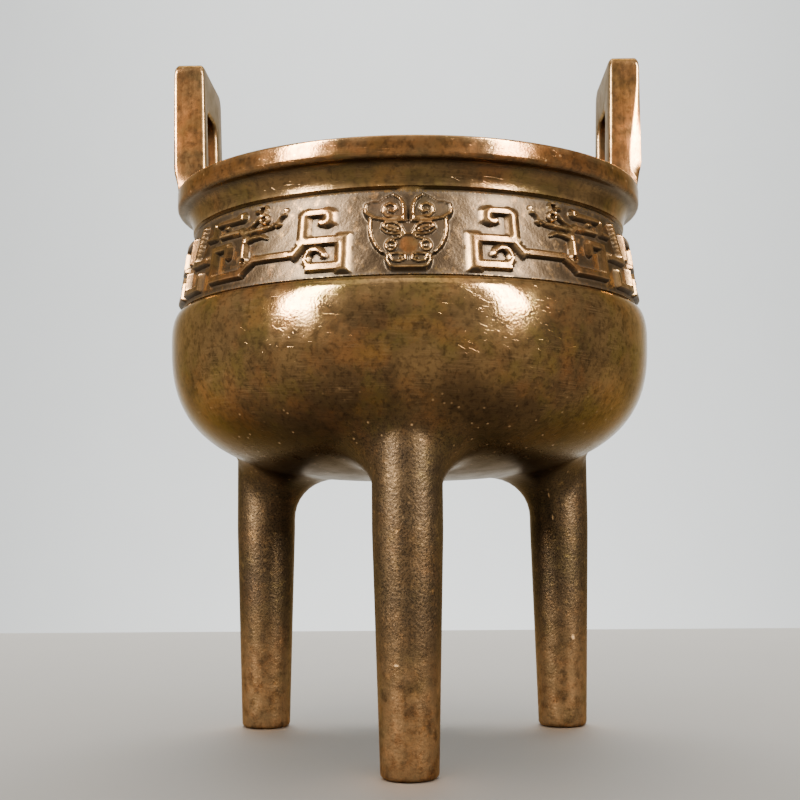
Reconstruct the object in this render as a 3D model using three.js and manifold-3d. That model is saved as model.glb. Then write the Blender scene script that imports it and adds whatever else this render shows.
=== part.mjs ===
// Bronze tripod censer, cast in one piece: a hollow bowl on three round legs, with a moulded rim,
// two upright ears and a relief frieze of beast masks and angular dragons round the neck.
// Millimetres, +Z up. The origin is on the axis, at the level of the feet, and the front mask faces -Y.

import * as THREE from 'three';
import { mergeVertices } from 'three/addons/utils/BufferGeometryUtils.js';
import Module from 'manifold-3d';

// Bowl and rim
const SEGMENTS = 48;
const BOWL_RADIUS = 58.6;
const BOWL_WIDEST_Z = 97.4;
const BOWL_DEPTH = 34.3;
const BOWL_POWER = 2.8;
const BOWL_STEPS = 8;
const SHOULDER_STEPS = 3;
const WALL = 4.0;
const HOLLOW_STEPS = 6;
const MOUTH_RADIUS = 49.3;
const RIM_RADIUS = 57.4;
const RIM_TOP = 133.7;
const RIM_EDGE = 0.6;
const LIP_BOTTOM = 128.9;
const LIP_ROUND = 1.2;
const COVE_STEPS = 2;

// Frieze: a cone that flares downwards, with a groove above it and a notch below
const FRIEZE_BOTTOM = 104.1;
const FRIEZE_TOP = 123.4;
const FRIEZE_LOW_RADIUS = 56.1;
const FRIEZE_HIGH_RADIUS = 53.15;
const FRIEZE_MEAN_RADIUS = (FRIEZE_LOW_RADIUS + FRIEZE_HIGH_RADIUS) / 2;
const NOTCH = 0.4;
const GROOVE = 0.6;

// Relief: height over the frieze, depth of the root inside the wall, and the widths of the strokes
const RELIEF = 1.2;
const RELIEF_ROOT = 0.8;
const TOP_SHARE = 0.72;
const KEY_WIDTH = 2.3;
const THIN_KEY_WIDTH = 1.7;
const LINE_WIDTH = 1.1;
const STEP_LONGEST = 10.5;
const SHARPEST_MITRE = 0.6;
const NOSE_RADIUS = 1.7;
const NOSE_LEVEL = 6.4;
const NOSE_SUNK = 0.4;

// Legs, with a fillet to the bowl that is wide towards the axis and narrow on the outer side
const LEG_COUNT = 3;
const LEG_CIRCLE = 44.7;
const LEG_SIDES = 14;
const FOOT_RADIUS = 6.2;
const FOOT_EDGE = 1.0;
const LEG_TOP_RADIUS = 7.6;
const LEG_TOP_Z = 51;
const FILLET_INNER = 10.5;
const FILLET_OUTER = 2.0;
const FILLET_STEPS = 3;
const LEG_ROOT = 1.5;

// Ears: upright plates on the rim, each with a tall slot whose upper corners are round
const EAR_OUTER_X = 56.25;
const EAR_THICKNESS = 6.35;
const EAR_WIDTH = 27;
const EAR_TOP = 166.6;
const EAR_CORNER = 3;
const EAR_EDGE = 0.8;
const EAR_ROOT = 2.5;
const SLOT_WIDTH = 14;
const SLOT_BOTTOM = RIM_TOP - 1.5;
const SLOT_TOP = RIM_TOP + 21.8;
const SLOT_CORNER = 3.5;
const CORNER_STEPS = 3;

const wasm = await Module();
wasm.setup();

// A closed geometry as a solid that can be joined and cut
function solid(geometry) {
  geometry.deleteAttribute('normal');
  geometry.deleteAttribute('uv');
  const merged = mergeVertices(geometry);
  const index = merged.index.array;
  const triangles = [];
  for (let i = 0; i < index.length; i += 3) {
    const [a, b, c] = index.slice(i, i + 3);
    if (a !== b && b !== c && c !== a) triangles.push(a, b, c);
  }
  return new wasm.Manifold(new wasm.Mesh({
    numProp: 3,
    vertProperties: new Float32Array(merged.attributes.position.array),
    triVerts: new Uint32Array(triangles),
  }));
}

function toGeometry(manifold) {
  const mesh = manifold.getMesh();
  const geometry = new THREE.BufferGeometry();
  geometry.setAttribute('position', new THREE.BufferAttribute(mesh.vertProperties, 3));
  geometry.setIndex(new THREE.BufferAttribute(mesh.triVerts, 1));
  geometry.computeVertexNormals();
  return geometry;
}

// A solid of revolution about +Z from (radius, height) points that start and end on the axis
function turned(points, segments) {
  const profile = points.map(([r, z]) => new THREE.Vector2(r, z));
  return new THREE.LatheGeometry(profile, segments).rotateX(Math.PI / 2);
}

// The lower half of the bowl, from the axis out to the widest level, as a superellipse
function bowlCurve(radius, depth, steps) {
  const points = [];
  for (let i = 0; i <= steps; i++) {
    const angle = (i / steps) * Math.PI / 2;
    const r = radius * Math.sin(angle) ** (2 / BOWL_POWER);
    const z = BOWL_WIDEST_Z - depth * Math.cos(angle) ** (2 / BOWL_POWER);
    points.push([r, z]);
  }
  return points;
}

// Height of the bowl's underside at a distance from the axis
function bowlHeight(radius) {
  const share = Math.min(radius / BOWL_RADIUS, 1) ** BOWL_POWER;
  return BOWL_WIDEST_Z - BOWL_DEPTH * (1 - share) ** (1 / BOWL_POWER);
}

// A quarter of an ellipse that leaves the first point upwards and reaches the second along the radius
function quarter([r0, z0], [r1, z1], steps) {
  const points = [];
  for (let i = 1; i <= steps; i++) {
    const angle = (i / steps) * Math.PI / 2;
    points.push([r0 + (r1 - r0) * (1 - Math.cos(angle)), z0 + (z1 - z0) * Math.sin(angle)]);
  }
  return points;
}

// The vessel's outside, from the middle of its underside to the top of the rim, as if it were full
function outerBody() {
  const widest = [BOWL_RADIUS, BOWL_WIDEST_Z];
  const shoulderTop = [FRIEZE_LOW_RADIUS, FRIEZE_BOTTOM - NOTCH];
  const coveBottom = [FRIEZE_HIGH_RADIUS + NOTCH, FRIEZE_TOP + 2 * GROOVE];
  const lipUnder = [RIM_RADIUS - LIP_ROUND, LIP_BOTTOM];
  return turned([
    ...bowlCurve(BOWL_RADIUS, BOWL_DEPTH, BOWL_STEPS),
    ...quarter(widest, shoulderTop, SHOULDER_STEPS),
    [FRIEZE_LOW_RADIUS - NOTCH, FRIEZE_BOTTOM - NOTCH / 2],
    [FRIEZE_LOW_RADIUS, FRIEZE_BOTTOM],
    [FRIEZE_HIGH_RADIUS, FRIEZE_TOP],
    [FRIEZE_HIGH_RADIUS - GROOVE, FRIEZE_TOP + GROOVE],
    coveBottom,
    ...quarter(coveBottom, lipUnder, COVE_STEPS),
    [RIM_RADIUS, LIP_BOTTOM + LIP_ROUND],
    [RIM_RADIUS, RIM_TOP - RIM_EDGE],
    [RIM_RADIUS - RIM_EDGE, RIM_TOP],
    [0, RIM_TOP],
  ], SEGMENTS);
}

// The space inside the vessel, up through the mouth
function hollow() {
  const aboveRim = RIM_TOP + WALL;
  return turned([
    ...bowlCurve(BOWL_RADIUS - WALL, BOWL_DEPTH - WALL, HOLLOW_STEPS),
    [FRIEZE_LOW_RADIUS - WALL, FRIEZE_BOTTOM],
    [MOUTH_RADIUS, FRIEZE_TOP],
    [MOUTH_RADIUS, RIM_TOP - RIM_EDGE],
    [MOUTH_RADIUS + RIM_EDGE, RIM_TOP],
    [MOUTH_RADIUS, aboveRim],
    [0, aboveRim],
  ], SEGMENTS);
}

// One leg, turned on its own axis. Its top rings are levels 1, 2, 3... above LEG_TOP_Z, which then spread
// into the fillet, at heights measured down from the bowl.
function leg(turn) {
  const rings = FILLET_STEPS + 1;
  const points = [[0, 0], [FOOT_RADIUS - FOOT_EDGE, 0], [FOOT_RADIUS, FOOT_EDGE], [LEG_TOP_RADIUS, LEG_TOP_Z]];
  for (let level = 1; level <= rings + 1; level++) points.push([LEG_TOP_RADIUS, LEG_TOP_Z + level]);
  points.push([0, LEG_TOP_Z + rings + 1]);
  const geometry = turned(points, LEG_SIDES).translate(0, -LEG_CIRCLE, 0);
  const position = geometry.attributes.position;
  for (let i = 0; i < position.count; i++) {
    const level = Math.round(position.getZ(i) - LEG_TOP_Z);
    if (level < 1) continue;
    const fromAxis = new THREE.Vector2(position.getX(i), position.getY(i) + LEG_CIRCLE);
    const onRing = fromAxis.length() > LEG_TOP_RADIUS / 2;
    const outward = onRing ? -fromAxis.y / fromAxis.length() : 0;
    const fillet = THREE.MathUtils.lerp(FILLET_INNER, FILLET_OUTER, (1 + outward) / 2);
    const angle = Math.min((level - 1) / FILLET_STEPS, 1) * Math.PI / 2;
    if (onRing) fromAxis.setLength(LEG_TOP_RADIUS + fillet * (1 - Math.cos(angle)));
    const y = fromAxis.y - LEG_CIRCLE;
    const gap = level > rings ? -LEG_ROOT : fillet * (1 - Math.sin(angle));
    position.setXYZ(i, fromAxis.x, y, bowlHeight(Math.hypot(fromAxis.x, y)) - gap);
  }
  return solid(geometry.rotateZ(turn));
}

// An upright outline of a given half width, with round upper corners
function upright(outline, half, low, high, corner) {
  outline.moveTo(-half, low);
  outline.lineTo(half, low);
  outline.lineTo(half, high - corner);
  outline.absarc(half - corner, high - corner, corner, 0, Math.PI / 2, false);
  outline.lineTo(corner - half, high);
  outline.absarc(corner - half, high - corner, corner, Math.PI / 2, Math.PI, false);
  outline.closePath();
  return outline;
}

// One ear, standing at +X for a turn of 0
function ear(turn) {
  const half = EAR_WIDTH / 2 - EAR_EDGE;
  const slotHalf = SLOT_WIDTH / 2 + EAR_EDGE;
  const outline = upright(new THREE.Shape(), half, RIM_TOP - EAR_ROOT, EAR_TOP - EAR_EDGE, EAR_CORNER);
  outline.holes.push(upright(new THREE.Path(), slotHalf, SLOT_BOTTOM, SLOT_TOP + EAR_EDGE, SLOT_CORNER));
  const plate = new THREE.ExtrudeGeometry(outline, {
    depth: EAR_THICKNESS - 2 * EAR_EDGE,
    bevelThickness: EAR_EDGE,
    bevelSize: EAR_EDGE,
    bevelSegments: 1,
    curveSegments: CORNER_STEPS,
  });
  plate.rotateX(Math.PI / 2).rotateZ(Math.PI / 2);
  plate.translate(EAR_OUTER_X - EAR_THICKNESS + EAR_EDGE, 0, 0);
  return solid(plate.rotateZ(turn));
}

// Paths of the relief, in millimetres along the frieze from a mask's centre line and above the frieze's
// lower edge. A run starts at a point and makes straight moves: east is away from the mask.
function run(start, ...moves) {
  const points = [start];
  for (const [ds, dt] of moves) {
    const [s, t] = points.at(-1);
    points.push([s + ds, t + dt]);
  }
  return points;
}
const east = (mm) => [mm, 0];
const west = (mm) => [-mm, 0];
const north = (mm) => [0, mm];
const south = (mm) => [0, -mm];

function arc([s, t], radius, from, to, steps) {
  const points = [];
  for (let i = 0; i <= steps; i++) {
    const angle = THREE.MathUtils.degToRad(from + (to - from) * i / steps);
    points.push([s + radius * Math.cos(angle), t + radius * Math.sin(angle)]);
  }
  return points;
}

function curve(steps, ...through) {
  const spline = new THREE.SplineCurve(through.map(([s, t]) => new THREE.Vector2(s, t)));
  return spline.getPoints(steps).map((p) => [p.x, p.y]);
}

// The angular dragon of one quarter of the frieze: a square scroll and a hook by the mask, a stem that
// runs on into a square hook, the head with its crest above, and a tail of squared bars
function dragonStrokes() {
  const key = (points, width = KEY_WIDTH) => ({ points, width });
  return [
    key(run([22.3, 8.2], west(9.6), south(5.6), east(8.4), north(3.1), west(3.4))),
    key(run([21.8, 7.4], north(7.3), west(6.2), south(2.7), east(2))),
    key(run([21.4, 8], [2.8, -2.5], east(10.4), [2.6, -2.7], east(13.2), north(7.6), west(7.4), south(3.4))),
    key(run([38.3, 3.8], north(12.6), east(10))),
    key(run([26.7, 15.9], [3.4, -3.1], east(7.6)), THIN_KEY_WIDTH),
    key(run([32.6, 17.4], [1, -4.2]), THIN_KEY_WIDTH),
    key(run([32.2, 10.4], east(4.4)), THIN_KEY_WIDTH),
    key(run([39.8, 12.7], east(7.8), [-1.8, 3]), THIN_KEY_WIDTH),
    key(run([50.8, 16], south(3.2))),
    key(run([51, 8.4], east(8.8), [-3.2, 8.3])),
    key(run([55.8, 5.4], south(3), east(10.2), north(4.2))),
    key(run([64.4, 10.4], north(4.8), east(10), south(6.2))),
    key(run([71, 2.4], east(9.6), north(8))),
  ];
}

// Half of the beast mask: horn, inner horn, curl, eye, cheek, nostril, bridge of the nose, and chin
function maskStrokes() {
  const line = (points, width = LINE_WIDTH) => ({ points, width });
  return [
    line(curve(4, [0.5, 12.3], [4.2, 12], [7.4, 12.9], [9.1, 14.4], [9.4, 16.4]), 1.5),
    line(curve(3, [0.9, 12.6], [1, 15.2], [1.7, 16.9], [4, 18]), 1.3),
    line(arc([3.7, 14.5], 1.5, 230, -60, 4)),
    line(run([1.1, 9], [2.4, 1.4], [1.9, 0.9]), 1.8),
    line(curve(3, [7.7, 12.2], [7.6, 9.8], [6.6, 6.6], [4.9, 4.4])),
    line(run([2.3, 6.3], east(2)), 2.2),
    line(run([0.3, 8.6], [1.2, -0.9])),
    line(run([4.6, 4.6], south(1.9), [-1.1, -1.1], west(3.6))),
  ];
}

// Radius of the frieze's cone at a height above its lower edge
function friezeRadius(t) {
  return THREE.MathUtils.lerp(FRIEZE_LOW_RADIUS, FRIEZE_HIGH_RADIUS, t / (FRIEZE_TOP - FRIEZE_BOTTOM));
}

// The path with its long moves divided, so that a bar along it stays close to the round wall
function divided(points) {
  const path = [points[0]];
  for (const [s, t] of points.slice(1)) {
    const [s0, t0] = path.at(-1);
    const steps = Math.max(1, Math.ceil(Math.abs(s - s0) / STEP_LONGEST));
    for (let i = 1; i <= steps; i++) path.push([s0 + (s - s0) * i / steps, t0 + (t - t0) * i / steps]);
  }
  return path;
}

// A stroke as a bar of trapezoid section, bent along its path with mitred corners and wrapped on the frieze;
// hand is 1, or -1 for the mirrored quarter
function stroke({ points, width }, hand, turn) {
  const path = divided(points.map(([s, t]) => [hand * s, t]));
  const last = path.length - 1;
  const direction = (i) => {
    const step = THREE.MathUtils.clamp(i, 0, last - 1);
    return new THREE.Vector2(...path[step + 1]).sub(new THREE.Vector2(...path[step])).normalize();
  };
  const bar = new THREE.BoxGeometry(last, 1, 1, last, 1, 1);
  const position = bar.attributes.position;
  for (let i = 0; i < position.count; i++) {
    const station = Math.round(position.getX(i) + last / 2);
    const along = direction(station - 1).add(direction(station)).normalize();
    const mitre = 1 / Math.max(along.dot(direction(station)), SHARPEST_MITRE);
    const top = position.getZ(i) > 0;
    const across = position.getY(i) * width * mitre * (top ? TOP_SHARE : 1);
    const s = path[station][0] - along.y * across;
    const t = path[station][1] + along.x * across;
    const radius = friezeRadius(t) + (top ? RELIEF : -RELIEF_ROOT);
    const angle = turn + s / FRIEZE_MEAN_RADIUS;
    position.setXYZ(i, radius * Math.sin(angle), -radius * Math.cos(angle), FRIEZE_BOTTOM + t);
  }
  return solid(bar);
}

function nose(turn) {
  const ball = new THREE.SphereGeometry(NOSE_RADIUS, 8, 6);
  ball.translate(0, NOSE_SUNK - friezeRadius(NOSE_LEVEL), FRIEZE_BOTTOM + NOSE_LEVEL);
  return solid(ball.rotateZ(turn));
}

function censer() {
  let cast = solid(outerBody());
  for (let i = 0; i < LEG_COUNT; i++) cast = cast.add(leg(i * 2 * Math.PI / LEG_COUNT));
  for (const turn of [0, Math.PI]) {
    cast = cast.add(ear(turn)).add(nose(turn));
    for (const hand of [1, -1]) {
      for (const part of [...dragonStrokes(), ...maskStrokes()]) cast = cast.add(stroke(part, hand, turn));
    }
  }
  return cast.subtract(solid(hollow()));
}

const bronze = new THREE.MeshStandardMaterial({ color: 0x6a4a26, roughness: 0.38, metalness: 0.9 });
const body = new THREE.Mesh(toGeometry(censer()), bronze);
body.name = 'censer';

const part = new THREE.Group();
part.add(body);

export default part;
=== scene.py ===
"""Bronze tripod censer: one casting with a bowl, a relief frieze, two ears and three legs.

The frame gives the casting's box. All lengths are in metres; MM turns millimetres into them.
The front of the censer, with the beast mask and one leg, looks along -Y.
"""
import math

import bmesh
import bpy
import numpy as np
from bpy.props import FloatProperty, FloatVectorProperty, PointerProperty
from mathutils import Matrix, Vector, geometry, kdtree


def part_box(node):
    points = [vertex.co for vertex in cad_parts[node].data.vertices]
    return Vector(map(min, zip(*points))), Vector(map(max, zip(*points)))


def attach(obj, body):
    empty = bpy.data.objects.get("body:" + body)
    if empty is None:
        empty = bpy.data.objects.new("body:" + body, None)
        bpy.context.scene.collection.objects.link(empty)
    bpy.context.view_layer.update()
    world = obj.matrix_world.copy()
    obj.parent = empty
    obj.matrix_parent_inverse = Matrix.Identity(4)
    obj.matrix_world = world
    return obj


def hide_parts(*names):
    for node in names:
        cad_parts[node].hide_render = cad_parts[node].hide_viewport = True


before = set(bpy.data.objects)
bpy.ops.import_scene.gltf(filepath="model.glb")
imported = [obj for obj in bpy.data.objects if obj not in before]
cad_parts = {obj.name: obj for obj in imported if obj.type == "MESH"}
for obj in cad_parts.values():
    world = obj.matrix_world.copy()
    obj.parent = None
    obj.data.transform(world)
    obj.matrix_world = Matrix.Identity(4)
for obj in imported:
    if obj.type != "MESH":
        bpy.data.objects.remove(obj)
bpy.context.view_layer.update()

bl_info = {
    "name": "Bronze tripod censer",
    "version": (1, 0, 0),
    "blender": (4, 5, 0),
    "location": "3D View > Sidebar > Censer",
    "description": "Casts a bronze tripod censer with a relief frieze and sets it on a pale stage",
    "category": "Object",
}

MM = 0.001
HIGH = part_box("censer")[1]


def linear(hex_colour):
    """Linear colour of an sRGB hex value such as #8a6330."""
    channels = []
    for start in (1, 3, 5):
        value = int(hex_colour[start:start + 2], 16) / 255
        low = value <= 0.04045
        channels.append(value / 12.92 if low else ((value + 0.055) / 1.055) ** 2.4)
    return tuple(channels)


# Fixed proportions of the casting.
BOWL_RADIUS = HIGH.y
BOWL_WIDEST_Z = 97.4 * MM
BOWL_DEPTH = 34.3 * MM
BOWL_POWER = 2.8
SHOULDER_RADIUS = 56.1 * MM
SHOULDER_Z = 104.0 * MM
FRIEZE_BOTTOM = 104.45 * MM
FRIEZE_TOP = 122.6 * MM
FRIEZE_LOW_RADIUS = 56.05 * MM
FRIEZE_HIGH_RADIUS = 53.25 * MM
FRIEZE_RADIUS = (FRIEZE_LOW_RADIUS + FRIEZE_HIGH_RADIUS) / 2
FRIEZE_TALL = FRIEZE_TOP - FRIEZE_BOTTOM
FRIEZE_TURN = math.radians(0.95)
NOTCH = (FRIEZE_LOW_RADIUS - 0.4 * MM, FRIEZE_BOTTOM - 0.2 * MM)
GROOVE = (FRIEZE_HIGH_RADIUS - 0.6 * MM, FRIEZE_TOP + 0.6 * MM)
GROOVE_FILLING = 0.75 * MM
COVE_BOTTOM = (53.55 * MM, 123.8 * MM)
COVE_TOP = (56.2 * MM, 128.9 * MM)
RIM_RADIUS = 57.4 * MM
RIM_TOP = 133.7 * MM
LIP_ROUND = 1.2 * MM
LIP_EDGE = 0.6 * MM
MOUTH_RADIUS = 49.3 * MM
LEG_COUNT = 3
LEG_CIRCLE = 44.7 * MM
LEG_TOP_Z = 51.0 * MM
LEG_TOP_RADIUS = 7.6 * MM
FOOT_EDGE = 1.1 * MM
INNER_FILLET = 14.5 * MM
OUTER_FILLET = 3.6 * MM
EAR_FACE_X = 56.95 * MM
EAR_ROOT_Z = 131.2 * MM
SLOT_ROOT_Z = 132.4 * MM
SLOT_SHIFT = 1.8 * MM
EAR_CORNER = 3.0 * MM
SLOT_CORNER = 3.5 * MM
EAR_ROLL = 0.85 * MM
EAR_DOME = 0.8 * MM
EAR_LEAN = 1.1 * MM
FACET_WIDE = 2.7 * MM
FACET_DEEP = 1.1 * MM

# Fineness of the meshes: steps in a quarter turn, closer over half the mask, finer ones for the frieze.
MASK_STEPS = 9
MASK_TURN = math.radians(12.0)
PLAIN_STEPS = 24
FINE = 8
FRIEZE_ROWS = 66
LEG_ROUND = 64
BOTTOM_STEP = 1.7 * MM
EAR_STEPS = (22, 10, 16)
ROLL_PARTS = 5
ROOT_ROWS = 10
LEG_ROWS = 24
FOOT_ROWS = 5
SIDE_ROWS = 20
INSIDE_ROWS = 14
WELD = 2e-6
SHARP_ANGLE = math.radians(42)

# Profile angle where the turned side of the bowl ends and its bottom patch begins.
BOTTOM_EDGE_ANGLE = math.radians(15.5)

# Marks that each point of the casting has a share of: finishes, painted shade in grooves, creases, under the
# lip and under the bowl, and painted highlights along raised and rolled edges; and the heights and radii
# where some set in or fade.
MARKS = ("recess", "rub", "grain", "warm", "smoke", "dust", "upright")
LIP_FADE = (128.6 * MM, 129.8 * MM)
COVE_FADE = (123.5 * MM, 124.5 * MM)
LEG_FADE = (66 * MM, 79 * MM)
LEG_REACH = 9 * MM
FEET_FADE = (6 * MM, 38 * MM)
GRAIN_FADE = (14 * MM, 46 * MM)
# Heights over which the painted shade under the bowl fades out.
UNDERSIDE_SHADE_FADE = (64 * MM, 87 * MM)
BENEATH_SHADE_FADE = (63 * MM, 76 * MM)
INSIDE_RADIUS = 52.4 * MM
INSIDE_TOP = 132 * MM
INSIDE_FLOOR = 66.5 * MM
EAR_FOOT_FADE = (134 * MM, 146 * MM)
EAR_TOP_FADE = (153 * MM, 164 * MM)
EAR_WARMEST_Z = 148 * MM


class CenserSizes(bpy.types.PropertyGroup):
    """Sizes of the casting that a user would change."""

    height: FloatProperty(
        name="Height", description="From the floor to the top of the ears",
        default=HIGH.z, unit="LENGTH")
    wall: FloatProperty(
        name="Wall", description="Thickness of the bowl's wall",
        default=4.0 * MM, unit="LENGTH")
    relief: FloatProperty(
        name="Relief", description="How far the frieze's strokes stand out",
        default=1.2 * MM, unit="LENGTH")
    foot_radius: FloatProperty(
        name="Foot radius", description="Radius of a leg at the floor",
        default=6.2 * MM, unit="LENGTH")
    ear_width: FloatProperty(
        name="Ear width", description="Width of an ear along the rim",
        default=27.0 * MM, unit="LENGTH")
    ear_thickness: FloatProperty(
        name="Ear thickness", description="Thickness of an ear across the rim",
        default=7.05 * MM, unit="LENGTH")
    slot_width: FloatProperty(
        name="Slot width", description="Width of the opening in an ear",
        default=14.0 * MM, unit="LENGTH")
    slot_top: FloatProperty(
        name="Slot top", description="Height of the opening's upper edge above the floor",
        default=155.5 * MM, unit="LENGTH")


class CenserColours(bpy.types.PropertyGroup):
    """Colours of the bronze and of the stage."""

    golden: FloatVectorProperty(
        name="Golden brown", description="Polished patina of the bowl",
        default=linear("#7c5f3a"), subtype="COLOR", min=0, max=1)
    dark: FloatVectorProperty(
        name="Dark brown", description="Darker clouds in the patina",
        default=linear("#4c3924"), subtype="COLOR", min=0, max=1)
    olive: FloatVectorProperty(
        name="Olive", description="Greener clouds in the patina",
        default=linear("#6b582c"), subtype="COLOR", min=0, max=1)
    orange: FloatVectorProperty(
        name="Orange brown", description="Warm tone of the lip, the ears, the feet and some clouds",
        default=linear("#a06332"), subtype="COLOR", min=0, max=1)
    # Soot colour: dark dirt and grain, and also the painted shade in grooves, under strokes, under the lip,
    # and under and inside the bowl.
    soot_and_shade: FloatVectorProperty(
        name="Soot", description="Dark dirt in grooves, under the bowl and inside it",
        default=linear("#15100b"), subtype="COLOR", min=0, max=1)
    # Rubbed colour: worn metal, grit and nicks, and also painted highlights along rolled edges and ridges.
    rubbed_and_highlight: FloatVectorProperty(
        name="Rubbed bronze", description="Paler metal where hands have rubbed the edges",
        default=linear("#b08a5c"), subtype="COLOR", min=0, max=1)
    dusty: FloatVectorProperty(
        name="Dusty bronze", description="Dull brown film on the frieze's ground and the legs",
        default=linear("#33271a"), subtype="COLOR", min=0, max=1)
    floor: FloatVectorProperty(
        name="Floor", description="Pale floor",
        default=linear("#cdc7bd"), subtype="COLOR", min=0, max=1)
    wall: FloatVectorProperty(
        name="Wall", description="Pale wall behind the floor",
        default=linear("#d3d6d5"), subtype="COLOR", min=0, max=1)


# Frieze: strokes are given in millimetres along the band from the mask's middle and up from its
# lower edge. A run starts at a point and goes on by steps east, west, north and south.
def run(start, *steps):
    """Points of a stroke that starts at a point and moves by each step."""
    points = [start]
    for along, up in steps:
        points.append((points[-1][0] + along, points[-1][1] + up))
    return points


def east(length):
    """Step away from the mask."""
    return (length, 0)


def west(length):
    """Step towards the mask."""
    return (-length, 0)


def north(length):
    """Step upwards."""
    return (0, length)


def south(length):
    """Step downwards."""
    return (0, -length)


def curl(centre, radius, start, end, steps, end_radius=None):
    """Points of an arc or, with an end radius, of a spiral, between two angles in degrees."""
    end_radius = radius if end_radius is None else end_radius
    points = []
    for step in range(steps + 1):
        share = step / steps
        angle = math.radians(start + (end - start) * share)
        reach = radius + (end_radius - radius) * share
        points.append((centre[0] + reach * math.cos(angle), centre[1] + reach * math.sin(angle)))
    return points


# Each stroke: points, width at its start, width at its end, height share, round ends and corners.
DRAGON = [
    (run((21.9, 7.9), west(9.4), south(5.7), east(7.0)), 2.6, 2.6, 1.0, False),
    (curl((18.3, 4.2), 2.2, -65, 168, 14, 1.75), 2.5, 1.7, 1.0, True),
    (run((21.4, 7.9), north(5.7), (-0.6, 0.6), west(4.6), (-0.5, -0.5), south(1.3), (0.5, -0.5), east(1.2)),
     2.5, 2.2, 1.0, True),
    (run((21.4, 7.7), (1.9, -2.2), east(10.3), (1.9, -1.3), (1.2, -0.9)), 2.4, 2.3, 1.0, False),
    (run((36.9, 3.3), east(0.1)), 2.9, 2.9, 1.0, True),
    (curl((36.7, 5.6), 0.9, 0, 360, 14), 0.9, 0.9, 0.8, True),
    (run((36.8, 6.8), north(4.8), (1.6, 1.2)), 2.2, 2.0, 1.0, False),
    (run((37.4, 2.9), east(10.0), north(6.9), west(4.4)), 2.6, 2.5, 1.0, False),
    (run((43.0, 9.8), (-0.7, -0.4), south(1.8)), 2.5, 2.4, 1.0, True),
    ([(26.1, 15.9), (26.4, 14.8), (27.4, 14.2), (28.0, 13.2), (29.6, 12.5), (32.0, 12.3), (36.8, 12.0)],
     1.2, 1.8, 0.95, True),
    ([(28.0, 13.2), (27.4, 12.6), (28.2, 12.1)], 1.0, 0.8, 0.7, True),
    (curl((31.7, 14.4), 0.95, 0, 360, 14), 0.9, 0.9, 0.9, True),
    (run((31.7, 14.4), east(0.1)), 0.9, 0.9, 0.8, True),
    ([(32.4, 15.5), (33.7, 14.6), (35.0, 13.5), (36.6, 12.9)], 1.6, 1.4, 0.95, True),
    (curl((32.2, 16.6), 0.95, 250, -40, 12), 1.0, 0.8, 0.85, True),
    (run((34.2, 16.5), east(0.2)), 1.4, 1.4, 0.75, True),
    ([(30.7, 10.0), (32.0, 10.6), (34.2, 10.6), (36.2, 10.2)], 1.1, 2.0, 0.9, True),
    (run((38.7, 16.0), east(0.6)), 3.0, 2.8, 1.0, True),
    (run((39.2, 15.7), east(7.8)), 2.3, 2.1, 1.0, False),
    (run((38.7, 12.7), east(6.9)), 2.0, 1.8, 0.95, False),
    (run((43.5, 14.3), east(0.6)), 1.7, 1.7, 0.85, True),
    (run((48.2, 15.6), south(2.7), east(3.4)), 2.1, 1.8, 1.0, True),
    (run((51.0, 8.1), east(6.9)), 2.4, 2.4, 1.0, False),
    (run((57.4, 8.3), (-3.2, 7.7)), 2.4, 2.1, 1.0, False),
    (run((53.6, 4.8), south(2.6), east(8.6), north(4.4)), 2.6, 2.4, 1.0, False),
    (run((61.2, 9.6), north(5.0), east(9.4), south(6.0), west(4.2)), 2.5, 2.2, 1.0, False),
    (run((66.4, 2.2), east(12.8), north(12.4), west(4.4), south(7.0)), 2.5, 2.2, 1.0, False),
    (run((66.4, 2.2), north(3.1), east(3.6)), 2.4, 2.1, 1.0, False),
]
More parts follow.
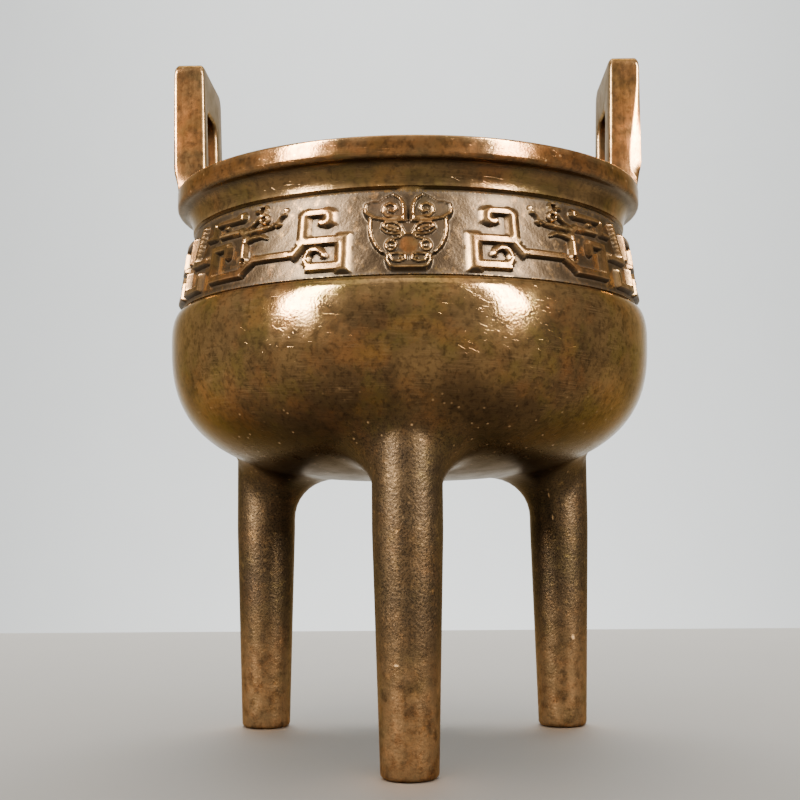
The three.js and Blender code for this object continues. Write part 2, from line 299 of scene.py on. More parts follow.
# Half of the mask: lines of the same form, and the outline of the plate that they stand on.
MASK_LINES = [
    ([(0.6, 11.6), (2.0, 11.5), (4.8, 11.7), (7.2, 12.25), (8.7, 13.2), (9.2, 14.2), (9.05, 15.3)],
     1.0, 0.9, 1.0, True),
    ([(0.95, 12.0), (0.85, 13.7), (1.0, 15.1), (1.6, 16.3), (3.2, 17.4)], 1.1, 0.8, 1.0, True),
    ([(3.2, 17.4), (4.8, 16.8), (6.4, 15.7), (7.6, 15.8), (9.0, 15.2)], 0.6, 0.6, 0.6, True),
    ([(1.2, 12.1), (2.6, 12.25), (4.4, 12.5), (5.3, 13.5), (5.0, 14.7), (3.9, 15.3), (2.8, 14.9),
      (2.5, 14.05), (3.1, 13.4), (3.9, 13.7)], 0.8, 0.8, 0.9, True),
    ([(0.9, 8.95), (1.8, 10.5), (3.2, 11.2), (4.7, 11.1), (5.3, 10.55)], 0.7, 0.7, 0.9, True),
    ([(0.9, 8.95), (2.3, 9.05), (4.0, 9.5), (5.0, 10.1), (5.3, 10.55)], 0.7, 0.7, 0.9, True),
    ([(2.3, 9.7), (3.4, 10.2), (4.3, 10.4)], 1.0, 0.9, 0.8, True),
    ([(0.0, 8.5), (1.2, 8.6), (3.0, 8.5), (4.6, 8.85), (5.6, 9.7)], 0.7, 0.6, 0.8, True),
    ([(0.9, 8.5), (1.7, 7.8), (3.0, 7.45), (4.2, 7.15)], 0.7, 0.6, 0.8, True),
    (curl((3.6, 6.05), 1.05, 100, 440, 18), 0.7, 0.7, 0.9, True),
    (run((3.4, 5.95), east(0.1)), 1.0, 1.0, 0.9, True),
    ([(8.0, 11.7), (8.05, 10.1), (7.7, 8.0), (6.8, 6.1), (5.6, 4.7)], 1.1, 0.9, 1.0, True),
    ([(3.9, 4.15), (3.3, 2.8), (1.9, 2.55), (0.6, 3.1), (0.7, 4.05), (2.0, 4.4), (3.9, 4.15)],
     0.7, 0.7, 0.9, True),
    (run((1.5, 3.5), east(0.1)), 0.9, 0.9, 1.0, True),
    ([(4.5, 4.05), (4.35, 2.7), (3.7, 1.7), (2.6, 1.45), (0.0, 1.45)], 0.8, 0.8, 0.9, True),
]
MASK_OUTLINE = [
    (0.0, 0.4), (3.6, 0.4), (4.6, 1.1), (5.1, 2.6), (4.9, 3.8), (5.8, 4.15), (7.4, 5.75), (8.4, 7.9),
    (8.75, 10.1), (8.6, 11.5), (9.4, 12.4), (9.9, 13.7), (9.25, 15.7), (8.4, 15.9), (7.4, 16.2), (6.4, 16.1),
    (4.8, 17.2), (3.2, 17.85), (1.5, 17.0), (0.6, 15.55), (0.35, 13.7), (0.4, 12.0), (0.0, 11.7),
]
NOSE = (0.0, 6.2)
NOSE_RADIUS = 1.6
MASK_END = 10.5
DRAGON_SHIFT = 0.83
DRAGON_STRETCH = 1.03

# Section of the relief: shares of its height, roundings, widths and places in millimetres, and the
# exponents by which thin lines and wide bars fall off.
PLATE_SHARE = 0.55
LINE_SHARE = 0.45
NOSE_SHARE = 0.25
EDGE_ROLL = 0.75
ROLL_SHARE = 0.46
SQUARE_CORNER = 0.7
SIDE_DRAFT = 0.6
DRAFT_END = 23.0
DRAFT_WIDTH = 2.0
THIN_WIDTH = 1.3
THIN_FALL = 1.9
WIDE_FALL = 1.15

# In millimetres: the size of the frieze's cells on the mask and past it, a distance greater than any stroke
# is wide, and the half steps over which slopes are taken.
MASK_CELL = 0.22
PLAIN_CELL = 0.36
FAR = 9.0
PROBE = 0.02
WIDE_PROBE = 0.1


def bar_distance(along, up, start, end, half_start, half_end, corner):
    """Signed distance from points to one straight stretch of a stroke, negative inside it."""
    run_east, run_north = end[0] - start[0], end[1] - start[1]
    length = math.hypot(run_east, run_north) or 1e-6
    run_east, run_north = run_east / length, run_north / length
    forward = (along - start[0]) * run_east + (up - start[1]) * run_north
    aside = (up - start[1]) * run_east - (along - start[0]) * run_north
    share = np.clip(forward / length, 0, 1)
    half = half_start + (half_end - half_start) * share
    rounding = np.minimum(half, corner)
    past = np.abs(forward - length / 2) - length / 2 - half + rounding
    wide = np.abs(aside) - half + rounding
    outside = np.hypot(np.maximum(past, 0), np.maximum(wide, 0))
    return outside + np.minimum(np.maximum(past, wide), 0) - rounding


def outline_distance(along, up, outline):
    """Signed distance from points to a closed outline, negative inside it."""
    nearest = np.full_like(along, FAR)
    inside = np.zeros(along.shape, dtype=bool)
    for start, end in zip(outline, outline[1:] + outline[:1]):
        nearest = np.minimum(nearest, bar_distance(along, up, start, end, 0.0, 0.0, FAR))
        if start[1] != end[1]:
            cross = start[0] + (up - start[1]) * (end[0] - start[0]) / (end[1] - start[1])
            inside ^= ((start[1] > up) != (end[1] > up)) & (along < cross)
    return np.where(inside, -nearest, nearest)


def stroke_height(along, up, stroke):
    """Height share and signed distance, in millimetres, of one stroke at points.

    The sides of upright bars near the mask have a wider draft, by which the pattern left its mould.
    """
    points, width_start, width_end, rise, rounded = stroke
    stretches = len(points) - 1
    corner = FAR if rounded else SQUARE_CORNER
    roll = min(EDGE_ROLL, ROLL_SHARE * (width_start + width_end) / 2)
    broad = min(width_start, width_end) > DRAFT_WIDTH
    distance = np.full_like(along, FAR)
    inside = np.zeros_like(along)
    for index, (start, end) in enumerate(zip(points, points[1:])):
        run_east, run_north = end[0] - start[0], end[1] - start[1]
        upright = run_north ** 2 / max(run_east ** 2 + run_north ** 2, 1e-6)
        drafted = broad and MASK_END < start[0] < DRAFT_END
        draft = SIDE_DRAFT * upright * drafted
        half = [(width_start + (width_end - width_start) * step / stretches) / 2 + draft
                for step in (index, index + 1)]
        away = bar_distance(along, up, start, end, *half, corner)
        distance = np.minimum(distance, away)
        inside = np.maximum(inside, np.clip(-away / (roll + draft), 0, 1))
    fall = THIN_FALL if max(width_start, width_end) < THIN_WIDTH else WIDE_FALL
    return rise * (1 - (1 - inside) ** fall), distance


def relief_field(along, up):
    """Height share and signed distance, in millimetres, of the quarter frieze at points."""
    mirrored = [(-x, y) for x, y in MASK_OUTLINE[-2:0:-1]]
    nearest = outline_distance(along, up, MASK_OUTLINE + mirrored)
    plate = PLATE_SHARE * smooth_step(-nearest, 0, 0.7)
    lines = np.zeros_like(along)
    for stroke in MASK_LINES:
        lines = np.maximum(lines, stroke_height(along, up, stroke)[0])
    off = np.hypot(along - NOSE[0], up - NOSE[1])
    lines = np.maximum(lines, NOSE_SHARE * smooth_step(NOSE_RADIUS - off, 0, 0.8 * NOSE_RADIUS))
    height = plate + LINE_SHARE * lines * smooth_step(-nearest, -0.2, 0.2)
    out = (along - DRAGON_SHIFT) / DRAGON_STRETCH
    for stroke in DRAGON:
        stand, distance = stroke_height(out, up, stroke)
        height = np.maximum(height, stand)
        nearest = np.minimum(nearest, distance)
    return height, nearest


def quarter_angles(parts):
    """Angles from the mask's middle to the side, each step cut into parts."""
    mask = np.linspace(0, MASK_TURN, MASK_STEPS * parts + 1)
    plain = np.linspace(MASK_TURN, math.pi / 2, PLAIN_STEPS * parts + 1)
    return np.concatenate([mask, plain[1:]])


def round_angles(parts):
    """Angles all round the bowl, mirrored at the mask and at the sides."""
    quarter = quarter_angles(parts)
    half = np.concatenate([-quarter[:0:-1], quarter[:-1]])
    return np.concatenate([half, half + math.pi])


class Sheet:
    """A patch of surface: its points, its faces and one value per point for each surface mark."""

    def __init__(self, points, faces, marks=None):
        self.points = np.asarray(points, dtype=float)
        self.faces = [tuple(int(corner) for corner in face) for face in faces]
        self.marks = marks or surface_marks(self.points)


def smooth_step(value, low, high):
    """0 below low, 1 above high, smooth between."""
    share = np.clip((value - low) / (high - low), 0, 1)
    return share * share * (3 - 2 * share)


# Scars of the casting in millimetres, each from one point to another and with its half width.
CRACKS = [
    ((-39.3, 15.0, 54.4), (-39.7, 15.0, 50.9), 0.22),
    ((-39.7, 15.0, 50.9), (-38.3, 15.0, 46.8), 0.25),
    ((-38.3, 15.0, 46.8), (-36.4, 15.5, 42.4), 0.18),
]
NICKS = [
    ((34.8, 13.4, 63.4), (36.6, 15.2, 53.1), 0.22),
    ((36.6, 15.2, 53.1), (38.7, 15.1, 42.7), 0.16),
    ((41.1, 16.1, 23.4), (41.2, 16.1, 22.9), 0.6),
    ((-2.7, -51.0, 23.8), (-2.0, -51.0, 23.9), 0.35),
    ((1.0, -56.1, 104.3), (2.4, -56.5, 103.3), 0.3),
]


def groove_fill(points):
    """1 where the groove over the mask is filled in, as a flaw of the casting, and 0 elsewhere."""
    along = np.arctan2(points[:, 0], -points[:, 1]) * FRIEZE_RADIUS
    return smooth_step(along, -0.9 * MM, 0.2 * MM) * (1 - smooth_step(along, 2.7 * MM, 3.8 * MM))


def band(z, middle, half_width):
    """1 at a height, falling smoothly to almost 0 at twice the half width from it."""
    return np.exp(-((z - middle) / half_width) ** 2)


def surface_marks(points):
    """Share of each finish, from 0 to 1, by where a point lies on the casting, with painted shade in the
    groove, the notch, under the lip, under the bowl and inside it.
    """
    radius = np.hypot(points[:, 0], points[:, 1])
    z = points[:, 2]
    outer = radius > MOUTH_RADIUS + 1.7 * MM
    # Painted shade: darker in the groove over the frieze, in the notch under it and on the cove in the lip's
    # shadow.
    groove = band(z, FRIEZE_TOP + 0.65 * MM, 0.5 * MM) * outer * (1 - groove_fill(points))
    notch = band(z, FRIEZE_BOTTOM - 0.2 * MM, 0.3 * MM) * outer
    lip_shadow = band(z, LIP_FADE[0], 1.1 * MM) * outer
    lip = smooth_step(z, *LIP_FADE)
    lip_edge = band(z, RIM_TOP - 0.3 * MM, 0.5 * MM) * (radius > RIM_RADIUS - 0.9 * MM)
    cove = smooth_step(z, *COVE_FADE) * (1 - lip)
    fold = 2 * math.pi / LEG_COUNT
    turn = np.arctan2(points[:, 0], -points[:, 1])
    turn = turn - fold * np.round(turn / fold)
    off_leg = np.hypot(radius * np.sin(turn), radius * np.cos(turn) - LEG_CIRCLE) - LEG_TOP_RADIUS
    leg = (1 - smooth_step(off_leg, 0, LEG_REACH)) * (1 - smooth_step(z, *LEG_FADE))
    feet = (1 - smooth_step(z, *FEET_FADE)) * leg
    # Painted shade: darker towards the bowl's underside; it also adds some grain there.
    low = 1 - smooth_step(z, *UNDERSIDE_SHADE_FADE)
    coarse = leg * (0.3 + 0.7 * smooth_step(z, *GRAIN_FADE))
    # Painted shade inside the bowl, which also gets grain.
    inside = (radius < INSIDE_RADIUS) * (z < INSIDE_TOP) * smooth_step(z - INSIDE_FLOOR, 0, 0.2 * MM)
    inside = inside * smooth_step(z - bowl_height(radius), 1.8 * MM, 3.0 * MM)
    # Painted shade on the underside between the legs.
    beneath_shade = (1 - smooth_step(z, *BENEATH_SHADE_FADE)) * (1 - leg) * (1 - inside)
    return {
        "recess": np.clip(groove + 0.7 * notch + 0.75 * lip_shadow + 0.5 * beneath_shade, 0, 1),
        "rub": np.clip(0.35 * lip_edge + 0.2 * feet, 0, 1),
        "grain": np.clip(coarse + 0.5 * inside + 0.25 * low, 0, 1),
        "warm": np.clip(0.5 * lip + 0.6 * feet, 0, 1),
        "smoke": np.clip(low * (1 - 0.9 * leg) + 0.6 * inside + 0.4 * lip, 0, 1),
        "dust": np.clip(0.85 * leg - 0.25 * feet + 0.3 * cove, 0, 1),
        "upright": np.clip(0.7 * leg, 0, 1),
    }


def ring(radius, z, parts=1):
    """Points round the axis, with each step of the quarter turns cut into parts."""
    angle = round_angles(parts) + FRIEZE_TURN
    return np.column_stack([radius * np.sin(angle), -radius * np.cos(angle), np.full(len(angle), z)])


def turned_sheet(profile, pole=False):
    """Surface turned from a profile of (radius, height) pairs; a pole closes its last ring."""
    points = np.vstack([ring(radius, z) for radius, z in profile])
    count = len(round_angles(1))
    faces = []
    for row in range(len(profile) - 1):
        low, high = row * count, (row + 1) * count
        for step in range(count):
            after = (step + 1) % count
            faces.append((low + step, low + after, high + after, high + step))
    if pole:
        last = (len(profile) - 1) * count
        points = np.vstack([points, [[0, 0, profile[-1][1]]]])
        for step in range(count):
            faces.append((last + step, last + (step + 1) % count, len(points) - 1))
    return Sheet(points, faces)


def stepped_sheet(coarse, fine):
    """Strip between a ring of plain steps and one with FINE times as many."""
    coarse_ring, fine_ring = ring(*coarse), ring(*fine, FINE)
    points = np.vstack([coarse_ring, fine_ring])
    count = len(coarse_ring)
    faces = []
    middle = FINE // 2
    for step in range(count):
        after = (step + 1) % count
        near = [count + (step * FINE + part) % (count * FINE) for part in range(FINE + 1)]
        for part in range(middle):
            faces.append((step, near[part], near[part + 1]))
        faces.append((step, near[middle], after))
        for part in range(middle, FINE):
            faces.append((after, near[part], near[part + 1]))
    return Sheet(points, faces)


def quarter_ellipse(start, end, steps, first_up):
    """Profile from start to end along a quarter ellipse that leaves start upwards or sideways."""
    profile = []
    for step in range(steps + 1):
        angle = math.pi / 2 * step / steps
        rising, easing = math.sin(angle), 1 - math.cos(angle)
        across, up = (easing, rising) if first_up else (rising, easing)
        profile.append((start[0] + (end[0] - start[0]) * across, start[1] + (end[1] - start[1]) * up))
    return profile


def bowl_curve(radius, depth, widest, angle):
    """Point of the bowl's superellipse profile: angle 0 at the widest ring, a right angle below."""
    power = 2 / BOWL_POWER
    return (radius * math.cos(angle) ** power, widest - depth * math.sin(angle) ** power)


def bowl_height(radius):
    """Height of the bowl's outer underside at a radius."""
    share = np.clip(radius / BOWL_RADIUS, 0, 1)
    return BOWL_WIDEST_Z - BOWL_DEPTH * (1 - share ** BOWL_POWER) ** (1 / BOWL_POWER)


def frieze_grid():
    """Grid over the quarter frieze in millimetres, with its points drawn to the edges of the relief."""
    places = quarter_angles(FINE) * FRIEZE_RADIUS / MM
    along, up = np.meshgrid(places, np.linspace(0, FRIEZE_TALL / MM, FRIEZE_ROWS + 1))
    past_mask = smooth_step(along, MASK_END - 1, MASK_END + 2)
    cell = PLAIN_CELL * past_mask + MASK_CELL * (1 - past_mask)
    free = np.ones_like(along)
    free[:, (0, -1)] = 0
    free[(0, -1), :] = 0
    for contour, reach in ((0.0, 0.5), (-EDGE_ROLL, 0.45)):
        distance = relief_field(along, up)[1] - contour
        slope_up = relief_field(along, up + PROBE)[1] - relief_field(along, up - PROBE)[1]
        slope_along = relief_field(along + PROBE, up)[1] - relief_field(along - PROBE, up)[1]
        slope_up, slope_along = slope_up / (2 * PROBE), slope_along / (2 * PROBE)
        steep = np.maximum(slope_up ** 2 + slope_along ** 2, 0.3)
        near = free * (np.abs(distance) < reach * cell)
        along = along - near * distance * slope_along / steep
        up = up - near * distance * slope_up / steep
    return along, up


def frieze_marks(along, up, height, distance):
    """Share of each finish on the frieze, by the relief's height and the distance to its edges, with painted
    shade at the strokes' feet, on their downward flanks, in the mask's hollows and along the band's top and
    bottom, and painted highlights along the ridges.
    """
    tall = FRIEZE_TALL / MM
    # Painted shade: darker at the strokes' feet.
    foot = np.exp(-(np.clip(distance, 0, None) / 0.35) ** 2) * (1 - np.clip(height / 0.5, 0, 1))
    # Painted shade: darker on the flanks that face downwards.
    rise = relief_field(along, up + WIDE_PROBE)[0] - relief_field(along, up - WIDE_PROBE)[0]
    under = smooth_step(rise / (2 * WIDE_PROBE) * EDGE_ROLL, 0.15, 0.6)
    # Painted shade: darker along the band's top and bottom edges.
    ends = band(up, 0, 0.5) + band(up, tall, 0.7)
    top = smooth_step(height, 0.75, 0.98)
    # Wear and painted highlight: paler along the upper edge of each ridge.
    ridge_wear_and_highlight = smooth_step(height, 0.6, 0.85) * (1 - smooth_step(height, 0.93, 1.0))
    on_mask = (along < MASK_END) * smooth_step(-distance, 0, 0.3)
    # Painted shade: darker in the mask's hollows.
    hollow_shade = on_mask * (1 - smooth_step(height, 0.6, 0.9))
    nose = 0.9 * (1 - smooth_step(np.hypot(along - NOSE[0], up - NOSE[1]), 1.2, 2.4))
    ground = smooth_step(distance, -0.3, 0.3)
    dragon = (1 - ground) * (1 - on_mask)
    marks = {
        "recess": 0.6 * foot + under + 0.7 * hollow_shade * (1 - nose) + 0.6 * ends * (1 - top),
        "rub": 0.5 * ridge_wear_and_highlight * (1 - 0.5 * on_mask),
        "grain": 0.35 * ground,
        "warm": 0.1 + 0.15 * top + nose,
        "smoke": 0.8 * on_mask * (1 - 0.6 * nose) * (1 - 0.7 * top),
        "dust": ground + 0.45 * dragon,
        "upright": np.full_like(along, 0.6),
    }
    return {mark: np.clip(share, 0, 1).ravel() for mark, share in marks.items()}


def frieze_sheet(sizes):
    """Quarter of the frieze from the mask's middle to the side, with its relief."""
    along, up = frieze_grid()
    height, distance = relief_field(along, up)
    tall = FRIEZE_TALL / MM
    edge = np.minimum(smooth_step(up, 0, 0.5), smooth_step(tall - up, 0, 0.5))
    sway = 0.03 * np.sin(along * 0.9 + 1.3 * np.sin(up * 0.6)) * np.sin(up * 1.1 + 0.4 * along)
    stand = (height * sizes.relief + sway * MM) * edge
    share = up / tall
    radius = FRIEZE_LOW_RADIUS + (FRIEZE_HIGH_RADIUS - FRIEZE_LOW_RADIUS) * share + stand
    angle = along * MM / FRIEZE_RADIUS
    z = FRIEZE_BOTTOM + FRIEZE_TALL * share
    points = np.column_stack([(radius * np.sin(angle)).ravel(), (-radius * np.cos(angle)).ravel(), z.ravel()])
    rows, wide = along.shape
    faces = []
    for row in range(rows - 1):
        for column in range(wide - 1):
            first = row * wide + column
            faces.append((first, first + 1, first + wide + 1, first + wide))
    return Sheet(points, faces, frieze_marks(along, up, height, distance))


def outer_bowl_sheets():
    """Shoulder, the bowl's side down to its bottom patch, and the notch under the frieze."""
    shoulder = quarter_ellipse((BOWL_RADIUS, BOWL_WIDEST_Z), (SHOULDER_RADIUS, SHOULDER_Z), 12, True)
    side = [NOTCH] + shoulder[::-1]
    for row in range(1, SIDE_ROWS + 1):
        side.append(bowl_curve(BOWL_RADIUS, BOWL_DEPTH, BOWL_WIDEST_Z, BOTTOM_EDGE_ANGLE * row / SIDE_ROWS))
    strip = stepped_sheet(NOTCH, (FRIEZE_LOW_RADIUS, FRIEZE_BOTTOM))
    return [strip, turned_sheet(side)]


def rim_and_inside_sheets(sizes):
    """Groove over the frieze, cove, lip, mouth and the whole inner wall down to its middle."""
    profile = [GROOVE, (COVE_BOTTOM[0] - 0.3 * MM, COVE_BOTTOM[1] - 0.1 * MM)]
    profile += quarter_ellipse(COVE_BOTTOM, COVE_TOP, 8, True)
    profile += quarter_ellipse(COVE_TOP, (RIM_RADIUS, COVE_TOP[1] + LIP_ROUND), 5, False)[1:]
    profile += [(RIM_RADIUS, COVE_TOP[1] + LIP_ROUND + share * (RIM_TOP - LIP_EDGE - COVE_TOP[1] - LIP_ROUND))
                for share in (0.33, 0.66)]
    profile += quarter_ellipse((RIM_RADIUS, RIM_TOP - LIP_EDGE), (RIM_RADIUS - LIP_EDGE, RIM_TOP), 4, True)
    middle = (RIM_RADIUS + MOUTH_RADIUS) / 2
    profile += [(middle + 1.6 * MM, RIM_TOP), (middle, RIM_TOP), (middle - 1.6 * MM, RIM_TOP)]
    mouth_edge = (MOUTH_RADIUS + LIP_EDGE, RIM_TOP)
    profile += quarter_ellipse(mouth_edge, (MOUTH_RADIUS, RIM_TOP - LIP_EDGE), 4, False)
    inner_low = FRIEZE_LOW_RADIUS - sizes.wall
    profile += [(MOUTH_RADIUS, z) for z in (RIM_TOP - 3.5 * MM, RIM_TOP - 7 * MM, FRIEZE_TOP)]
    for share in (0.25, 0.5, 0.75):
        profile.append((MOUTH_RADIUS + (inner_low - MOUTH_RADIUS) * share, FRIEZE_TOP - FRIEZE_TALL * share))
    profile.append((inner_low, FRIEZE_BOTTOM))
    for row in range(INSIDE_ROWS + 1):
        angle = min(math.pi / 2 * row / INSIDE_ROWS, math.radians(89.0))
        profile.append(bowl_curve(BOWL_RADIUS - sizes.wall, BOWL_DEPTH - sizes.wall, BOWL_WIDEST_Z, angle))
    last = profile[-1]
    profile += [(last[0] * share, last[1]) for share in (0.66, 0.33)]
    strip = stepped_sheet(GROOVE, (FRIEZE_HIGH_RADIUS, FRIEZE_TOP))
    return [strip, turned_sheet(profile, pole=True)]


def fill_groove(points):
    """Moves the bottom of the groove outwards where the casting filled it in."""
    radius = np.hypot(points[:, 0], points[:, 1])
    near = 0.05 * MM
    bottom = (np.abs(radius - GROOVE[0]) < near) & (np.abs(points[:, 2] - GROOVE[1]) < near)
    points[:, :2] *= (1 + GROOVE_FILLING * bottom * groove_fill(points) / np.maximum(radius, MM))[:, None]


def leg_root(turn):
    """Fillet size and plan directions round a leg whose foot stands at a turn from the front."""
    around = np.arange(LEG_ROUND) * 2 * math.pi / LEG_ROUND
    outward = np.cos(around)
    fillet = INNER_FILLET + (OUTER_FILLET - INNER_FILLET) * (1 + outward) / 2
    angle = around + turn
    direction = np.column_stack([np.sin(angle), -np.cos(angle)])
    centre = np.array([math.sin(turn), -math.cos(turn)]) * LEG_CIRCLE
    return centre, direction, fillet


def leg_root_ring(turn, lean):
    """Ring of the fillet at a lean: a right angle lies on the bowl, zero stands on the leg."""
    centre, direction, fillet = leg_root(turn)
    reach = LEG_TOP_RADIUS + fillet * (1 - math.cos(lean))
    plan = centre + direction * reach[:, None]
    z = bowl_height(np.hypot(plan[:, 0], plan[:, 1])) - fillet * (1 - math.sin(lean))
    return np.column_stack([plan, z])


def leg_sheet(sizes):
    """Front leg from the bowl's fillet to its foot."""
    rings = [leg_root_ring(0, math.radians(90 - 90 * row / ROOT_ROWS)) for row in range(ROOT_ROWS + 1)]
    top = rings[-1]
    centre, direction, _ = leg_root(0)
    for row in range(1, LEG_ROWS + 1):
        z = top[:, 2] + (FOOT_EDGE - top[:, 2]) * row / LEG_ROWS
        taper = np.clip(z / LEG_TOP_Z, 0, 1)
        reach = sizes.foot_radius + (LEG_TOP_RADIUS - sizes.foot_radius) * taper
        rings.append(np.column_stack([centre + direction * reach[:, None], z]))
    for row in range(1, FOOT_ROWS + 1):
        angle = math.pi / 2 * row / FOOT_ROWS
        reach = sizes.foot_radius - FOOT_EDGE * (1 - math.cos(angle))
        z = FOOT_EDGE * (1 - math.sin(angle))
        rings.append(np.column_stack([centre + direction * reach, np.full(LEG_ROUND, z)]))
    for share in (0.66, 0.33):
        reach = (sizes.foot_radius - FOOT_EDGE) * share
        rings.append(np.column_stack([centre + direction * reach, np.zeros(LEG_ROUND)]))
    points = np.vstack(rings + [[[centre[0], centre[1], 0.0]]])
    faces = []
    for row in range(len(rings) - 1):
        low, high = row * LEG_ROUND, (row + 1) * LEG_ROUND
        for step in range(LEG_ROUND):
            after = (step + 1) % LEG_ROUND
            faces.append((low + step, low + after, high + after, high + step))
    last = (len(rings) - 1) * LEG_ROUND
    for step in range(LEG_ROUND):
        faces.append((last + step, last + (step + 1) % LEG_ROUND, len(points) - 1))
    return Sheet(points, faces)


def bottom_sheet():
    """Underside of the bowl between its turned side and the legs, in even triangles."""
    edge_radius, edge_z = bowl_curve(BOWL_RADIUS, BOWL_DEPTH, BOWL_WIDEST_Z, BOTTOM_EDGE_ANGLE)
    radii = np.linspace(0, edge_radius, 800)
    heights = bowl_height(radii)
    arc = np.concatenate([[0], np.cumsum(np.hypot(np.diff(radii), np.diff(heights)))])

    def flat(points):
        """Plan of points with the round underside rolled out flat."""
        radius = np.hypot(points[:, 0], points[:, 1])
        return points[:, :2] * (np.interp(radius, radii, arc) / np.maximum(radius, 1e-9))[:, None]

    solid = [ring(edge_radius, edge_z)]
    turns = [2 * math.pi * leg / LEG_COUNT for leg in range(LEG_COUNT)]
    solid += [leg_root_ring(turn, math.pi / 2) for turn in turns]
    loops, first = [], 0
    for loop in solid:
        loops.append(range(first, first + len(loop)))
        first += len(loop)
    points = [point for loop in solid for point in loop]
    reach = arc[-1] - BOTTOM_STEP
    row = 0
    while reach > 0.4 * BOTTOM_STEP:
        count = max(6, round(2 * math.pi * reach / BOTTOM_STEP))
        radius = np.interp(reach, arc, radii)
        for step in range(count):
            angle = (step + 0.5 * (row % 2)) * 2 * math.pi / count
            spot = np.array([radius * math.sin(angle), -radius * math.cos(angle)])
            clear = True
            for turn in turns:
                centre, _, _ = leg_root(turn)
                off = spot - centre
                away = max(np.linalg.norm(off), 1e-9)
                outward = off @ centre / (away * LEG_CIRCLE)
                fillet = INNER_FILLET + (OUTER_FILLET - INNER_FILLET) * (1 + outward) / 2
                clear = clear and away > LEG_TOP_RADIUS + fillet + 0.6 * BOTTOM_STEP
            if clear:
                points.append(np.array([spot[0], spot[1], bowl_height(radius)]))
        reach -= BOTTOM_STEP * 0.9
        row += 1
    points = np.array(points)
    edges = []
    for loop in loops:
        for place, corner in enumerate(loop):
            edges.append((corner, loop[(place + 1) % len(loop)]))
    plan = [Vector(spot / MM) for spot in flat(points)]
    result = geometry.delaunay_2d_cdt(plan, edges, [], 0, 1e-6)
    origin = [group[0] for group in result[3]]
    in_leg = [set(loop) for loop in loops[1:]]
    faces = []
    for face in result[2]:
        corners = [origin[corner] for corner in face]
        if not any(set(corners) <= leg for leg in in_leg):
            faces.append(corners)
    return Sheet(points, faces)


def rounded_door(half_width, low, high, corner, side_steps, corner_steps, end_steps):
    """Loop of (y, z) points with square lower corners and round upper ones."""
    flat, spring = half_width - corner, high - corner
    loop = [(-half_width + 2 * half_width * step / end_steps, low) for step in range(end_steps)]
    loop += [(half_width, low + (spring - low) * step / side_steps) for step in range(side_steps)]
    for step in range(corner_steps):
        angle = math.pi / 2 * step / corner_steps
        loop.append((flat + corner * math.cos(angle), spring + corner * math.sin(angle)))
    loop += [(flat - 2 * flat * step / end_steps, high) for step in range(end_steps)]
    for step in range(corner_steps):
        angle = math.pi / 2 * (1 + step / corner_steps)
        loop.append((-flat + corner * math.cos(angle), spring + corner * math.sin(angle)))
    loop += [(-half_width, spring + (low - spring) * step / side_steps) for step in range(side_steps)]
    return np.array(loop)


def ear_section():
    """Rolled section of an ear: side and face of each corner, way of the roll and share along it."""
    section = []
    for corner, (across, deep) in enumerate(((1, 1), (0, 1), (0, 0), (1, 0))):
        for part in range(ROLL_PARTS + 1):
            share = part / ROLL_PARTS
            angle = math.pi / 2 * (corner + share)
            section.append((across, deep, math.cos(angle), math.sin(angle), share))
    return section


def ear_loop(sizes, section):
    """Points of a plain ear on the +X side, a section at each step, with its front edge filed to a facet."""
    outer = rounded_door(sizes.ear_width / 2, EAR_ROOT_Z, sizes.height, EAR_CORNER, *EAR_STEPS)
    inner = rounded_door(sizes.slot_width / 2, SLOT_ROOT_Z, sizes.slot_top, SLOT_CORNER, *EAR_STEPS)
    inner[:, 0] += SLOT_SHIFT
    thick = sizes.ear_thickness
    points = []
    for out_point, in_point in zip(outer, inner):
        way = out_point - in_point
        wide = np.linalg.norm(way)
        way = way / wide
        filed = smooth_step(-out_point[0], 0.46 * sizes.ear_width, 0.5 * sizes.ear_width)
        filed *= smooth_step(sizes.height - out_point[1], 4 * MM, 26 * MM)
        filed *= smooth_step(out_point[1], RIM_TOP + 0.5 * MM, RIM_TOP + 4.5 * MM)
        for across, deep, cos, sin, share in section:
            reach = across * wide + (-EAR_ROLL if across else EAR_ROLL) + EAR_ROLL * cos
            depth = deep * thick + (-EAR_ROLL if deep else EAR_ROLL) + EAR_ROLL * sin
            if across and deep:
                reach += filed * (wide - FACET_DEEP * share - reach)
                depth += filed * (thick - FACET_WIDE * (1 - share) - depth)
            spot = in_point + way * reach
            points.append((EAR_FACE_X - thick + depth, spot[0], spot[1]))
    return np.array(points)


def ear_marks(points, section, across):
    """Share of each finish on an ear: warm in the middle, dull at the foot and inwards, painted shade in the
    slot, and paler rolled edges from wear and painted highlight.
    """
    around = len(points) // len(section)
    z = points[:, 2]
    inner_face = smooth_step(-across, 0.65, 0.95)
    rolled = np.tile([math.sin(math.pi * share) for *_, share in section], around)
    slot_shade = np.tile([1 - side for side, *_ in section], around)
    foot = 1 - smooth_step(z, *EAR_FOOT_FADE)
    top = smooth_step(z, *EAR_TOP_FADE)
    marks = surface_marks(points)
    # Wear and painted highlight: paler along the rolled edges.
    marks["rub"] = 0.45 * rolled
    marks["warm"] = (0.35 + 0.65 * band(z, EAR_WARMEST_Z, 9 * MM)) * (1 - 0.65 * inner_face)
    marks["dust"] = np.maximum(0.6 * inner_face, 0.45 * foot)
    # Darker tone on the inner face and the top, and painted shade on the slot's walls.
    marks["smoke"] = np.maximum(np.maximum(0.5 * inner_face, 0.7 * slot_shade), 0.3 * top)
    marks["upright"] = np.ones(len(points))
    return marks


